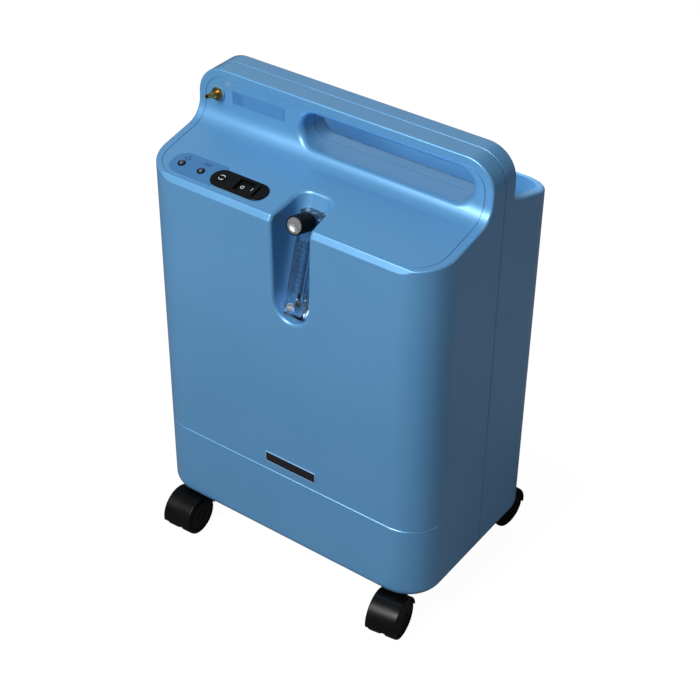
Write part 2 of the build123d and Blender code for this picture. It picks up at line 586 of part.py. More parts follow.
def make_rear_fittings():
    door = box(HINGE_X, DOOR_X, HALF_D - 0.1 - DOOR_T, HALF_D - 0.1, DOOR_Z0, DOOR_Z1)
    door += rod((HINGE_X, HINGE_Y, DOOR_Z0), (HINGE_X, HINGE_Y, DOOR_Z1), DOOR_T / 2)
    for step in range(12):
        z = DOOR_Z0 + 22 + step * 9.5
        door -= box(-38, 38, HALF_D - 10, HALF_D + 1, z, z + 3.2)
    for z in (DOOR_Z0, DOOR_Z1):
        door -= rod((HINGE_X, HINGE_Y, z - 7.1), (HINGE_X, HINGE_Y, z + 7.1), 1.25)
    grip_z = (DOOR_Z0 + DOOR_Z1) / 2
    door -= rod((DOOR_X - 8, HALF_D + 7, grip_z), (DOOR_X + 5, HALF_D + 7, grip_z), 9.0)
    write("filter_door", door)
    pins = [rod((HINGE_X, HINGE_Y, z - 7.0), (HINGE_X, HINGE_Y, z + 7.0), 1.2) for z in (DOOR_Z0, DOOR_Z1)]
    write("hinge_pins", *pins)
    foam = box(-DOOR_X + 5, DOOR_X - 5, FILTER_BOX_Y + 4, HALF_D - DOOR_T - 3, DOOR_Z0 + 5, DOOR_Z1 - 5)
    write("air_filter", foam)

    flange = fillet(inlet_box(16.5, 13, 0, 1.8).edges().filter_by(Axis.Y), 3.0)
    inlet = flange + inlet_box(13.7, 10.2, -24, 0.1)
    inlet -= inlet_box(12, 8, -16, 5)
    pins = [Pos(dx, 0, dz) * inlet_box(1, 2, -16, -4) for dx, dz in ((-7, -1.5), (0, 2.5), (7, -1.5))]
    write("power_inlet", inlet, *pins)

    screws = []
    for x, z in SCREWS:
        head = rod((x, HALF_D - 4.4, z), (x, HALF_D - 1.4, z), 4.0)
        head += rod((x, HALF_D - 16, z), (x, HALF_D - 4.3, z), 2.0)
        head -= box(x - 3, x + 3, HALF_D - 2.6, HALF_D, z - 0.5, z + 0.5)
        head -= box(x - 0.5, x + 0.5, HALF_D - 2.6, HALF_D, z - 3, z + 3)
        screws.append(head)
    write("cover_screws", *screws)


# ---------------------------------------------------------------- compressor
def make_compressor():
    y, z = COMPRESSOR_Y, SHAFT_Z
    case = rod((CRANK_X[0] + 15, y, z), (CRANK_X[1] - 15, y, z), 45)
    for fin in range(6):
        x = CRANK_X[0] + 30 + fin * 12.4
        case += rod((x, y, z), (x + 3, y, z), 48)
    for x in CRANK_X:
        case += box(x - 25, x + 25, y - 35, y + 35, z - CRANKCASE_DROP, z + 35)
        case += rod((x, y, z + 34), (x, y, 200), 24)
    for x in CRANK_X:
        case -= box(x - 12, x + 12, y - 30, y + 30, z - 33, z + 28)
        case -= rod((x, y, z + 20), (x, y, 201), 20 + RUNNING)
    case -= rod((CRANK_X[0] - 12.5, y, z), (CRANK_X[1] + 12.5, y, z), SHAFT_R + RUNNING)
    case -= rod((CRANK_X[0], y + 25, z - 5), (CRANK_X[0], y + 36, z - 5), 6)
    write("compressor_case", case)

    heads = []
    for x in CRANK_X:
        head = box(x - 28, x + 28, y - 28, y + 28, 200, 206)
        for fin in range(9):
            head += box(x - 27 + fin * 6.5, x - 25 + fin * 6.5, y - 26, y + 26, 205, 216)
        head += rod((x, y, 205), (x, y, 216), 9)
        heads.append(head)
    write("cylinder_heads", *heads)

    for side, x in zip(("left", "right"), CRANK_X):
        piston = rod((x, y, 178), (x, y, 190), 20)
        piston += rod((x, y, 154), (x, y, 179), 5)
        write(f"piston_{side}", piston)

    shaft = rod((CRANK_X[0] - 12, y, z), (CRANK_X[1] + 12, y, z), SHAFT_R)
    for x, side in zip(CRANK_X, (1, -1)):
        shaft += rod((x - 5, y, z + side * 7), (x + 5, y, z + side * 7), 14)
    write("compressor_shaft", shaft)

    feet = []
    for x in CRANK_X:
        for dy in (-26, 26):
            foot = rod((x, y + dy, UNDERSIDE_Z + PAN_T), (x, y + dy, z - CRANKCASE_DROP), 9)
            waist = rod((x, y + dy, 68), (x, y + dy, 72), 12) - rod((x, y + dy, 67), (x, y + dy, 73), 6.5)
            feet.append(foot - waist)
    write("compressor_mounts", *feet)


# ---------------------------------------------------------------- oxygen circuit
def make_oxygen_circuit():
    cans = []
    for x, y in CANISTERS:
        can = rod((x, y, 66), (x, y, CANISTER_Z0 + 2), 36)
        can += rod((x, y, CANISTER_Z0), (x, y, CANISTER_Z1), CANISTER_R)
        can += rod((x, y, CANISTER_Z1 - 2), (x, y, 309), 36)
        cans.append(can)
    write("sieve_canisters", *cans)
    tank = rod((-62, 45, 66), (-62, 45, 250), 30)
    tank = fillet(edges_of(tank, lambda mid, b: b.max.Z - b.min.Z < 0.1), 8)
    tank += rod((-62, 45, 248), (-62, 45, 260), 5)
    write("product_tank", tank)
    manifold = box(-172, -108, -75, 58, 310, 338)
    manifold = chamfer(manifold.edges().filter_by(Axis.Z), 6)
    write("valve_manifold", manifold)
    valves = []
    for y in (-50, -8, 33):
        valve = box(-154, -126, y - 14, y + 14, 338, 352)
        valves.append(valve + rod((-140, y, 351), (-140, y, 372), 11))
    write("solenoid_valves", *valves)
    muffler = rod((150, 50, 66), (150, 50, 150), 22)
    muffler = fillet(edges_of(muffler, lambda mid, b: b.max.Z - b.min.Z < 0.1), 5)
    write("exhaust_muffler", muffler)


def make_cooling():
    x, y, z = FAN_AT
    half = FAN_SIZE / 2
    frame = box(x - half, x + half, y - half, y + half, z, z + FAN_T)
    frame = fillet(frame.edges().filter_by(Axis.Z), 8)
    frame -= rod((x, y, z + 4), (x, y, z + FAN_T + 1), half - 4)
    ring = rod((x, y, z - 1), (x, y, z + 5), half - 4) - rod((x, y, z - 2), (x, y, z + 6), 20)
    for step in range(3):
        arm = Pos(x, y, z + 2) * Rot(0, 0, step * 120) * Pos(38, 0, 0) * Box(40, 7, 4)
        ring -= arm
    frame -= ring
    write("fan_housing", frame)

    rotor = rod((x, y, z + 4.4), (x, y, z + FAN_T - 1), 18)
    for step in range(7):
        pitched = Pos(34, 0, 0) * Rot(32, 0, 0) * Box(36, 24, 2)
        rotor += Pos(x, y, z + 14) * Rot(0, 0, step * 360 / 7) * pitched
    rotor &= rod((x, y, z + 4.4), (x, y, z + FAN_T - 1), half - 6)
    write("fan_rotor", rotor)

    start_y, step_y, left, right, tube_z = 24.0, 22.0, 55.0, 150.0, 310.0
    route = [(right, start_y)]
    for run in range(5):
        row = start_y - run * step_y
        near, far = (right, left) if run % 2 == 0 else (left, right)
        if run:
            route.append((near, row))
        route.append((far, row))
    route = [(px, py, tube_z) for px, py in route]
    coil = hose(route, [step_y / 2 - 0.1] * (len(route) - 2), 4.0)
    write("cooling_coil", coil)


def make_hoses():
    y = COMPRESSOR_Y
    intake = hose([(-6, 89.6, 240), (-6, 55, 240), (-6, 55, 120), (-6, 25.3, 120)], [22, 22], 7)
    outlet = hose([(116, y, 216.3), (116, y, 236), (178, 24, 236), (178, 24, 310), (150.3, 24, 310)],
                  [10, 18, 18], 4)
    feed = hose([(54.7, -64, 310), (-10, -64, 310), (-60, -40, 324), (-107.7, -40, 324)], [60, 60], 4)
    write("air_hoses", intake, outlet, feed)
    low = on_plane(METER, METER_X, BARB_LOW, -BARB_LONG - 0.3)
    low_in = on_plane(METER, METER_X, BARB_LOW, -BARB_LONG - 45)
    high = on_plane(METER, METER_X, BARB_HIGH, -BARB_LONG - 0.3)
    high_in = on_plane(METER, METER_X, BARB_HIGH, -BARB_LONG - 26)
    product = hose([(-62, 45, 260.3), (-62, 45, 310), (-10, 0, 345), low_in, low], [20, 20, 20], 3.5)
    end = outlet_point(-11.3)
    behind = outlet_point(-31)
    supply = hose([high, high_in, (-60, -8, 488), (-150, 8, 520), behind, end], [16, 30, 12, 10], 3.5)
    write("oxygen_hoses", product, supply)


def make_electronics():
    board = box(-176, -34, 12, 13.6, 392, 488)
    parts = []
    for x, z, w, h, deep in ((-160, 470, 18, 22, 16), (-130, 470, 26, 26, 20), (-92, 466, 34, 30, 24),
                             (-52, 470, 14, 14, 3), (-150, 430, 30, 12, 9), (-105, 428, 22, 22, 3),
                             (-60, 430, 28, 16, 12), (-150, 404, 44, 9, 10), (-80, 404, 44, 9, 10)):
        parts.append(box(x - w / 2, x + w / 2, 12 - deep, 12, z - h / 2, z + h / 2))
    for x, z in ((-118, 446), (-76, 446)):
        parts.append(rod((x, 12, z), (x, -10, z), 6))
    write("control_board", board)
    write("board_components", *parts)
    write("run_capacitor", rod((162, -50, 62), (162, -50, 140), 18))


# ---------------------------------------------------------------- casters
def make_caster(name, sx, sy, turn):
    """A hooded twin-wheel caster, drawn trailing towards -Y about the origin, then turned into place."""
    place = Pos(sx * SWIVEL_X, sy * SWIVEL_Y, 0) * Rot(0, 0, turn + (180 if sy > 0 else 0))
    cx, cy, cz = 0.0, -TRAIL, WHEEL_R
    half = WHEEL_W + WHEEL_GAP / 2
    hood = rod((-half - 0.5, cy, cz), (half + 0.5, cy, cz), HOOD_R)
    hood -= rod((-half - 2, cy, cz), (-WHEEL_GAP / 2, cy, cz), WHEEL_R + 0.8)
    hood -= rod((WHEEL_GAP / 2, cy, cz), (half + 2, cy, cz), WHEEL_R + 0.8)
    hood = fillet(edges_of(hood, lambda mid, b: abs(abs(mid.X) - half - 0.5) < 0.01
                           and math.hypot(mid.Y - cy, mid.Z - cz) > HOOD_R - 0.1), 1.4)
    open_front = Pos(0, cy, cz) * Rot(8, 0, 0) * box(-60, 60, -60, 60, -60, 0)
    web = rod((-WHEEL_GAP / 2 + 0.4, cy, cz), (WHEEL_GAP / 2 - 0.4, cy, cz), 14)
    hood = (hood - open_front) + web
    hood += rod((0, 0, cz + 12), (0, 0, cz + HOOD_R), 11) - rod((-30, cy, cz), (30, cy, cz), WHEEL_R + 0.8)
    hood += rod((0, 0, cz + 20), (0, 0, STEM_TOP), STEM_R) - rod((-30, cy, cz), (30, cy, cz), WHEEL_R + 0.8)
    hood -= rod((-30, cy, cz), (30, cy, cz), AXLE_R)
    write(f"caster_hood_{name}", place * hood)
    axle = rod((-half + 2, cy, cz), (half - 2, cy, cz), AXLE_R)
    write(f"caster_axle_{name}", place * axle)
    for side, sign in (("left", -1), ("right", 1)):
        inner, outer = sign * WHEEL_GAP / 2, sign * half
        wheel = rod((inner, cy, cz), (outer, cy, cz), WHEEL_R)
        rims = edges_of(wheel, lambda mid, b: b.max.X - b.min.X < 0.01)
        wheel = fillet(rims, 2.0)
        wheel -= rod((sign * 1.0, cy, cz), (outer - sign * 1.7, cy, cz), AXLE_R + RUNNING)
        write(f"caster_wheel_{name}_{side}", place * wheel)


make_covers()
make_base_pan()
make_panel()
make_outlet()
make_plates()
make_meter()
make_rear_fittings()
make_compressor()
make_oxygen_circuit()
make_cooling()
make_hoses()
make_electronics()
for caster, (side_x, side_y, angle) in CASTERS.items():
    make_caster(caster, side_x, side_y, angle)
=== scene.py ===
"""The looks of a floor-standing oxygen concentrator on four casters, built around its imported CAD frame."""
import json
import math

import bmesh
import bpy
from mathutils import Matrix, Vector


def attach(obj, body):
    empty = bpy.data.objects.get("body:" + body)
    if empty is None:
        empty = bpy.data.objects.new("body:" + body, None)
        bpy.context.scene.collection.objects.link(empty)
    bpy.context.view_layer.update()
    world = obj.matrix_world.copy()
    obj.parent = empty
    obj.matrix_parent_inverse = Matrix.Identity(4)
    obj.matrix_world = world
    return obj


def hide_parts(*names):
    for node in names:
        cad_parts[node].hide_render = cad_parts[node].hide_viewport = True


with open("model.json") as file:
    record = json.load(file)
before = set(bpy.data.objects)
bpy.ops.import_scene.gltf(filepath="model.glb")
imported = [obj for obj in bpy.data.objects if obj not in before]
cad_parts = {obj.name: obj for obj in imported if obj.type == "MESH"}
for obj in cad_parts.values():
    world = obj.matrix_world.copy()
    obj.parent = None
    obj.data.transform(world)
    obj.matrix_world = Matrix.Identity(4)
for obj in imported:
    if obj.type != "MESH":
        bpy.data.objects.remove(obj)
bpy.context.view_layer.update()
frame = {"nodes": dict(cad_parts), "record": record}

MM = 0.001
NODES = frame["nodes"]

# ---------------------------------------------------------------- camera, in metres and degrees
CAMERA_AT = Vector((0.87153, -1.22735, 1.38394))
CAMERA_YAW = math.radians(35.185)
CAMERA_PITCH = math.radians(-36.582)
CAMERA_ROLL = math.radians(0.791)
CAMERA_LENS_MM = 83.18
CAMERA_SENSOR_MM = 36
CAMERA_NEAR = 0.01


def make_camera():
    forward = Vector((-math.sin(CAMERA_YAW) * math.cos(CAMERA_PITCH),
                      math.cos(CAMERA_YAW) * math.cos(CAMERA_PITCH), math.sin(CAMERA_PITCH)))
    level = Vector((math.cos(CAMERA_YAW), math.sin(CAMERA_YAW), 0))
    upright = level.cross(forward)
    right = level * math.cos(CAMERA_ROLL) + upright * math.sin(CAMERA_ROLL)
    up = right.cross(forward)
    data = bpy.data.cameras.new("camera")
    data.lens = CAMERA_LENS_MM
    data.sensor_width = CAMERA_SENSOR_MM
    data.clip_start = CAMERA_NEAR
    camera = bpy.data.objects.new("camera", data)
    turn = Matrix((right, up, -forward)).transposed().to_4x4()
    camera.matrix_world = Matrix.Translation(CAMERA_AT) @ turn
    bpy.context.collection.objects.link(camera)
    bpy.context.scene.camera = camera


# ---------------------------------------------------------------- light and floor, in metres and watts
LIGHTS = {                    # place, the point it faces, width and height, and power
    "key_light": ((-0.25, -1.65, 1.80), (0, -0.1, 0.42), (0.9, 0.9), 54),
    "rear_light": ((-1.2, 2.0, 1.9), (0, 0, 0.4), (2.4, 1.8), 4.5),
    "tray_light": ((0.02, 0.034, 0.78), (0.02, 1.0, 0.78), (0.34, 0.22), 10),
    "side_light": ((2.2, 0.5, 0.9), (0, 0, 0.3), (0.4, 1.4), 3.4),
}
AMBIENT_COLOUR = (0.86, 0.93, 1.0, 1)
AMBIENT_STRENGTH = 0.20
BACKDROP_COLOUR = (1, 1, 1, 1)
FLOOR_SIZE = 12.0
FLOOR_LIT = (0.20, 0.20, 0.21)     # what other rays meet, such as reflections
FLOOR_SEEN = (0.08, 0.08, 0.08)    # what the camera sees under the glow
FLOOR_GLOW = 0.97


def area_light(name, place, target, size, watts):
    data = bpy.data.lights.new(name, "AREA")
    data.shape = "RECTANGLE"
    data.size, data.size_y = size
    data.energy = watts
    light = bpy.data.objects.new(name, data)
    aim = Vector(target) - Vector(place)
    light.matrix_world = Matrix.Translation(place) @ aim.to_track_quat("-Z", "Y").to_matrix().to_4x4()
    light.visible_camera = False
    bpy.context.collection.objects.link(light)


def make_studio():
    """Dim sky light for the object, a white backdrop for the camera, and the lamps."""
    scene = bpy.context.scene
    scene.view_settings.view_transform = "Standard"
    world = bpy.data.worlds.new("studio")
    world.use_nodes = True
    tree = world.node_tree
    tree.nodes.clear()
    out = tree.nodes.new("ShaderNodeOutputWorld")
    ambient = tree.nodes.new("ShaderNodeBackground")
    ambient.inputs["Color"].default_value = AMBIENT_COLOUR
    ambient.inputs["Strength"].default_value = AMBIENT_STRENGTH
    backdrop = tree.nodes.new("ShaderNodeBackground")
    backdrop.inputs["Color"].default_value = BACKDROP_COLOUR
    backdrop.inputs["Strength"].default_value = 1.0
    seen = tree.nodes.new("ShaderNodeLightPath")
    mix = tree.nodes.new("ShaderNodeMixShader")
    tree.links.new(seen.outputs["Is Camera Ray"], mix.inputs[0])
    tree.links.new(ambient.outputs[0], mix.inputs[1])
    tree.links.new(backdrop.outputs[0], mix.inputs[2])
    tree.links.new(mix.outputs[0], out.inputs[0])
    scene.world = world
    for name, (place, target, size, watts) in LIGHTS.items():
        area_light(name, place, target, size, watts)


def make_floor():
    """A pale floor that shows white to the camera and is a plain dim surface to every other ray."""
    mesh = bpy.data.meshes.new("floor")
    half = FLOOR_SIZE / 2
    corners = [(-half, -half, 0), (half, -half, 0), (half, half, 0), (-half, half, 0)]
    mesh.from_pydata(corners, [], [(0, 1, 2, 3)])
    floor = bpy.data.objects.new("floor", mesh)
    bpy.context.collection.objects.link(floor)
    paint = Paint("studio_floor")
    seen = paint.node("ShaderNodeLightPath").outputs["Is Camera Ray"]
    paint.set("Base Color", paint.ramp(seen, FLOOR_LIT, FLOOR_SEEN))
    paint.set("Roughness", 0.9)
    paint.set("Specular IOR Level", 0.0)
    paint.set("Emission Color", (1, 1, 1, 1))
    paint.set("Emission Strength", paint.ramp(seen, 0.0, FLOOR_GLOW))
    mesh.materials.append(paint.material)


# ---------------------------------------------------------------- materials
class Paint:
    """A node material round one Principled shader, with short calls for the textures it uses."""

    def __init__(self, name):
        self.material = bpy.data.materials.new(name)
        self.material.use_nodes = True
        self.tree = self.material.node_tree
        self.shader = self.tree.nodes["Principled BSDF"]
        self.place = self.node("ShaderNodeTexCoord").outputs["Object"]

    def node(self, kind, **values):
        made = self.tree.nodes.new(kind)
        for key, value in values.items():
            setattr(made, key, value)
        return made

    def link(self, source, target):
        self.tree.links.new(source, target)

    def set(self, socket, value):
        """Puts a number, a colour or another node's output on a socket of the shader."""
        target = self.shader.inputs[socket]
        if isinstance(value, bpy.types.NodeSocket):
            self.link(value, target)
        else:
            target.default_value = value

    def stretched(self, scale):
        mapping = self.node("ShaderNodeMapping")
        mapping.inputs["Scale"].default_value = scale
        self.link(self.place, mapping.inputs["Vector"])
        return mapping.outputs[0]

    def noise(self, scale, detail, vector=None):
        made = self.node("ShaderNodeTexNoise")
        made.inputs["Scale"].default_value = scale
        made.inputs["Detail"].default_value = detail
        self.link(vector or self.place, made.inputs["Vector"])
        return made.outputs["Fac"]

    def cells(self, scale):
        made = self.node("ShaderNodeTexVoronoi")
        made.inputs["Scale"].default_value = scale
        self.link(self.place, made.inputs["Vector"])
        return made.outputs["Distance"]

    def ramp(self, fac, low, high, start=0.0, end=1.0):
        """A colour or a number that runs from low to high as fac goes from start to end."""
        made = self.node("ShaderNodeMapRange")
        made.inputs["From Min"].default_value = start
        made.inputs["From Max"].default_value = end
        self.link(fac, made.inputs["Value"])
        if not isinstance(low, tuple):
            made.inputs["To Min"].default_value = low
            made.inputs["To Max"].default_value = high
            return made.outputs[0]
        mix = self.node("ShaderNodeMix", data_type="RGBA")
        self.link(made.outputs[0], mix.inputs["Factor"])
        mix.inputs["A"].default_value = (*low, 1)
        mix.inputs["B"].default_value = (*high, 1)
        return mix.outputs["Result"]

    def bump(self, *layers):
        """Bump from (height, depth in metres, strength) layers, one over another."""
        normal = None
        for height, depth, strength in layers:
            made = self.node("ShaderNodeBump")
            made.inputs["Distance"].default_value = depth
            made.inputs["Strength"].default_value = strength
            self.link(height, made.inputs["Height"])
            if normal:
                self.link(normal, made.inputs["Normal"])
            normal = made.outputs["Normal"]
        self.set("Normal", normal)


NOISE_SPAN = (0.3, 0.7)       # most of a noise texture's values lie between these


def srgb(red, green, blue):
    """A colour given as the eye sees it, 0 to 255, as the linear light that shaders use."""
    def linear(value):
        value /= 255
        return value / 12.92 if value <= 0.04045 else ((value + 0.055) / 1.055) ** 2.4
    return (linear(red), linear(green), linear(blue))


def cover_paint(name, low, high):
    """Satin pearl finish: fine metal flake, soft broad unevenness and a faint orange peel."""
    paint = Paint(name)
    broad = paint.noise(scale=5, detail=2)
    flake = paint.noise(scale=2600, detail=1)
    tone = paint.ramp(broad, low, high, *NOISE_SPAN)
    spark = paint.ramp(flake, (0.90, 0.90, 0.90), (1.10, 1.10, 1.10), *NOISE_SPAN)
    mix = paint.node("ShaderNodeMix", data_type="RGBA", blend_type="MULTIPLY")
    mix.inputs["Factor"].default_value = 1.0
    paint.link(tone, mix.inputs["A"])
    paint.link(spark, mix.inputs["B"])
    paint.set("Base Color", mix.outputs["Result"])
    paint.set("Metallic", 0.35)
    paint.set("Roughness", paint.ramp(paint.noise(scale=14, detail=3), 0.36, 0.44, *NOISE_SPAN))
    paint.set("Coat Weight", 0.5)
    paint.set("Coat Roughness", 0.28)
    paint.bump((paint.noise(scale=420, detail=2), 0.00012, 0.12), (flake, 0.00004, 0.10))
    return paint.material


def moulded_black(name, tone, rough, gloss, grain_scale, grain_depth, grain_strength):
    """Black plastic with a moulded grain."""
    paint = Paint(name)
    grain = paint.cells(grain_scale)
    soft = paint.noise(scale=30, detail=3)
    low, high = ((tone * share,) * 3 for share in (0.75, 1.25))
    paint.set("Base Color", paint.ramp(soft, low, high, *NOISE_SPAN))
    paint.set("Roughness", paint.ramp(soft, rough - 0.05, rough + 0.06, *NOISE_SPAN))
    paint.set("Specular IOR Level", gloss)
    fine = paint.noise(scale=900, detail=3)
    paint.bump((grain, grain_depth, grain_strength), (fine, grain_depth / 2, grain_strength))
    return paint.material


def metal(name, low, high, rough, brushed=(1, 1, 1)):
    """Metal with fine streaks, which brushed stretches: a smaller number makes them longer on that axis."""
    paint = Paint(name)
    streak = paint.noise(scale=900, detail=3, vector=paint.stretched(brushed))
    paint.set("Base Color", paint.ramp(streak, low, high, *NOISE_SPAN))
    paint.set("Metallic", 1.0)
    paint.set("Roughness", paint.ramp(streak, rough * 0.75, rough * 1.3, *NOISE_SPAN))
    paint.bump((streak, 0.00005, 0.15))
    return paint.material


def plain(name, low, high, rough, scale, coat=0.0):
    """A simple moulded or printed surface: two close tones, uneven gloss and a little relief."""
    paint = Paint(name)
    spots = paint.noise(scale=scale, detail=4)
    paint.set("Base Color", paint.ramp(spots, low, high, *NOISE_SPAN))
    paint.set("Roughness", paint.ramp(spots, rough - 0.05, rough + 0.05, *NOISE_SPAN))
    paint.set("Coat Weight", coat)
    paint.bump((paint.noise(scale=scale * 12, detail=3), 0.0001, 0.2))
    return paint.material


def clear_acrylic(name, tint, rough):
    """Clear plastic with faint smears in its gloss."""
    paint = Paint(name)
    smear = paint.noise(scale=70, detail=3)
    paint.set("Base Color", (*tint, 1))
    paint.set("Roughness", paint.ramp(smear, rough, rough + 0.03, 0.4, 0.8))
    paint.set("IOR", 1.49)
    paint.set("Transmission Weight", 1.0)
    paint.bump((smear, 0.00002, 0.1))
    return paint.material


def foam(name):
    """Open black foam with deep pores, with painted shade that darkens the middle of each pore."""
    paint = Paint(name)
    pores = paint.cells(700)
    # painted shade: the base colour is darkest at each pore's middle, where the bump sinks the hollow
    paint.set("Base Color", paint.ramp(pores, (0.004, 0.004, 0.004), (0.05, 0.05, 0.052), 0.1, 0.5))
    paint.set("Roughness", 0.95)
    paint.bump((pores, 0.0008, 0.8))
    return paint.material


def circuit(name):
    """Solder mask over copper tracks."""
    paint = Paint(name)
    tracks = paint.node("ShaderNodeTexBrick")
    tracks.inputs["Scale"].default_value = 90
    tracks.inputs["Mortar Size"].default_value = 0.06
    tracks.inputs["Color1"].default_value = (0.008, 0.10, 0.035, 1)
    tracks.inputs["Color2"].default_value = (0.010, 0.13, 0.045, 1)
    tracks.inputs["Mortar"].default_value = (0.03, 0.22, 0.08, 1)
    upright = paint.node("ShaderNodeMapping")
    upright.inputs["Rotation"].default_value = (math.radians(90), 0, 0)
    paint.link(paint.place, upright.inputs["Vector"])
    paint.link(upright.outputs[0], tracks.inputs["Vector"])
    paint.set("Base Color", tracks.outputs["Color"])
    paint.set("Roughness", 0.35)
    paint.bump((tracks.outputs["Fac"], 0.00004, 0.4))
    return paint.material


MATERIALS = {}


def make_materials():
    """One material for each slot of the record, and the printed colours that only the added pieces use."""
    MATERIALS["cover"] = cover_paint("cover_paint", srgb(92, 154, 202), srgb(98, 159, 207))
    MATERIALS["pan"] = moulded_black(
        "base_pan_plastic", tone=0.010, rough=0.5, gloss=0.3,
        grain_scale=900, grain_depth=0.0002, grain_strength=0.3)
    MATERIALS["overlay"] = plain(
        "control_film", srgb(60, 112, 162), srgb(64, 116, 166), rough=0.42, scale=90)
    MATERIALS["label_dark"] = plain(
        "title_film", srgb(66, 120, 170), srgb(70, 124, 174), rough=0.4, scale=90)
    MATERIALS["label_black"] = plain(
        "plate_black", (0.002, 0.002, 0.004), (0.004, 0.004, 0.006), rough=0.3, scale=80)
    MATERIALS["black_gloss"] = moulded_black(
        "glossy_black", tone=0.0025, rough=0.33, gloss=0.17,
        grain_scale=1100, grain_depth=0.00012, grain_strength=0.35)
    MATERIALS["black_matte"] = moulded_black(
        "matte_black", tone=0.003, rough=0.5, gloss=0.14,
        grain_scale=1300, grain_depth=0.0001, grain_strength=0.3)
    MATERIALS["wheel"] = moulded_black(
        "wheel_nylon", tone=0.0015, rough=0.38, gloss=0.12,
        grain_scale=500, grain_depth=0.0001, grain_strength=0.2)
    MATERIALS["lens"] = plain(
        "indicator_lens", (0.05, 0.055, 0.06), (0.08, 0.085, 0.09), rough=0.18, scale=120, coat=0.6)
    MATERIALS["brass"] = metal(
        "turned_brass", (0.42, 0.25, 0.07), (0.58, 0.38, 0.13), rough=0.24, brushed=(1, 6, 1))
    MATERIALS["acrylic"] = clear_acrylic("clear_acrylic", (0.78, 0.89, 1.0), rough=0.02)
    MATERIALS["bright_metal"] = metal(
        "bright_metal", (0.78, 0.78, 0.79), (0.92, 0.92, 0.93), rough=0.30)
    MATERIALS["steel"] = metal(
        "plated_steel", (0.42, 0.42, 0.43), (0.60, 0.60, 0.61), rough=0.3, brushed=(1, 1, 5))
    MATERIALS["foam"] = foam("filter_foam")
    MATERIALS["aluminium"] = metal(
        "cast_aluminium", (0.50, 0.51, 0.53), (0.66, 0.67, 0.69), rough=0.45)
    MATERIALS["rubber"] = plain(
        "black_rubber", (0.010, 0.010, 0.010), (0.018, 0.018, 0.018), rough=0.75, scale=120)
    MATERIALS["canister"] = metal(
        "drawn_aluminium", (0.60, 0.61, 0.63), (0.74, 0.75, 0.77), rough=0.32, brushed=(1, 1, 0.05))
    MATERIALS["coil"] = metal("bare_tube", (0.60, 0.60, 0.61), (0.72, 0.72, 0.73), rough=0.3)
    MATERIALS["circuit_board"] = circuit("solder_mask")
    MATERIALS["hose_clear"] = plain(
        "vinyl_hose", srgb(176, 190, 194), srgb(198, 208, 210), rough=0.3, scale=40, coat=0.3)
    MATERIALS["frame_blue"] = plain(
        "frame_blue", srgb(150, 185, 212), srgb(165, 198, 222), rough=0.3, scale=200)
    MATERIALS["stripe_blue"] = plain(
        "stripe_blue", srgb(44, 92, 144), srgb(48, 96, 148), rough=0.4, scale=200)
    MATERIALS["print_dark"] = plain(
        "dark_print", srgb(4, 14, 44), srgb(8, 20, 54), rough=0.6, scale=200)
    MATERIALS["print_white"] = plain(
        "white_print", srgb(214, 216, 218), srgb(228, 230, 232), rough=0.5, scale=200)


def dress_nodes():
    """Gives every CAD node the material of its record slot."""
    for entry in frame["record"]["subparts"]:
        node = NODES[entry["node"]]
        node.data.materials.clear()
        node.data.materials.append(MATERIALS[entry["material_slot"]])


# ---------------------------------------------------------------- geometry helpers
TURN_STEPS = 96
SHARP_EDGE = math.radians(32)
ON_AXIS = 1e-7


def add_piece(name, mesh, material, body):
    """Puts a mesh in the scene, on its body, with the material found under the given key."""
    piece = bpy.data.objects.new(name, mesh)
    bpy.context.collection.objects.link(piece)
    mesh.materials.append(MATERIALS[material])
    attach(piece, body)
    return piece


def turned(name, profile, place):
    """A mesh turned about its own Z from (radius, height) points, then put in place."""
    made = bmesh.new()
    rings = []
    for radius, height in profile:
        if radius < ON_AXIS:
            rings.append([made.verts.new((0, 0, height))])
            continue
        ring = [made.verts.new((radius * math.cos(2 * math.pi * step / TURN_STEPS),
                                radius * math.sin(2 * math.pi * step / TURN_STEPS), height))
                for step in range(TURN_STEPS)]
        rings.append(ring)
    for lower, upper in zip(rings, rings[1:]):
        for step in range(TURN_STEPS):
            after = (step + 1) % TURN_STEPS
            corners = [lower[step % len(lower)], lower[after % len(lower)],
                       upper[after % len(upper)], upper[step % len(upper)]]
            kept = list(dict.fromkeys(corners))
            if len(kept) > 2:
                made.faces.new(kept)
    bmesh.ops.recalc_face_normals(made, faces=made.faces)
    made.transform(place)
    mesh = bpy.data.meshes.new(name)
    made.to_mesh(mesh)
    made.free()
    mesh.shade_smooth()
    mesh.set_sharp_from_angle(angle=SHARP_EDGE)
    return mesh


def surface(origin, out):
    """A frame on a surface: local x is the machine's +X, local y runs up it and local z points out of it."""
    across, out = Vector((1, 0, 0)), Vector(out).normalized()
    upward = out.cross(across)
    axes = Matrix((across, upward, out)).transposed().to_4x4()
    return Matrix.Translation(Vector(origin) * MM) @ axes @ Matrix.Scale(MM, 4)


def stroke(start, end, width):
    """The four corners of a straight stroke with square ends."""
    along = (Vector(end) - Vector(start)).normalized()
    side = Vector((-along.y, along.x)) * width / 2
    return [tuple(Vector(start) + side), tuple(Vector(start) - side),
            tuple(Vector(end) - side), tuple(Vector(end) + side)]


def arc_strokes(centre, radius, first, last, width, count):
    """Short strokes along an arc, from one angle to another in degrees."""
    angles = [math.radians(first + (last - first) * step / count) for step in range(count + 1)]
    points = [(centre[0] + radius * math.cos(a), centre[1] + radius * math.sin(a)) for a in angles]
    return [stroke(start, end, width) for start, end in zip(points, points[1:])]


BEVEL_SHARE = 0.3             # inset of a raised shape's top, as a share of its height


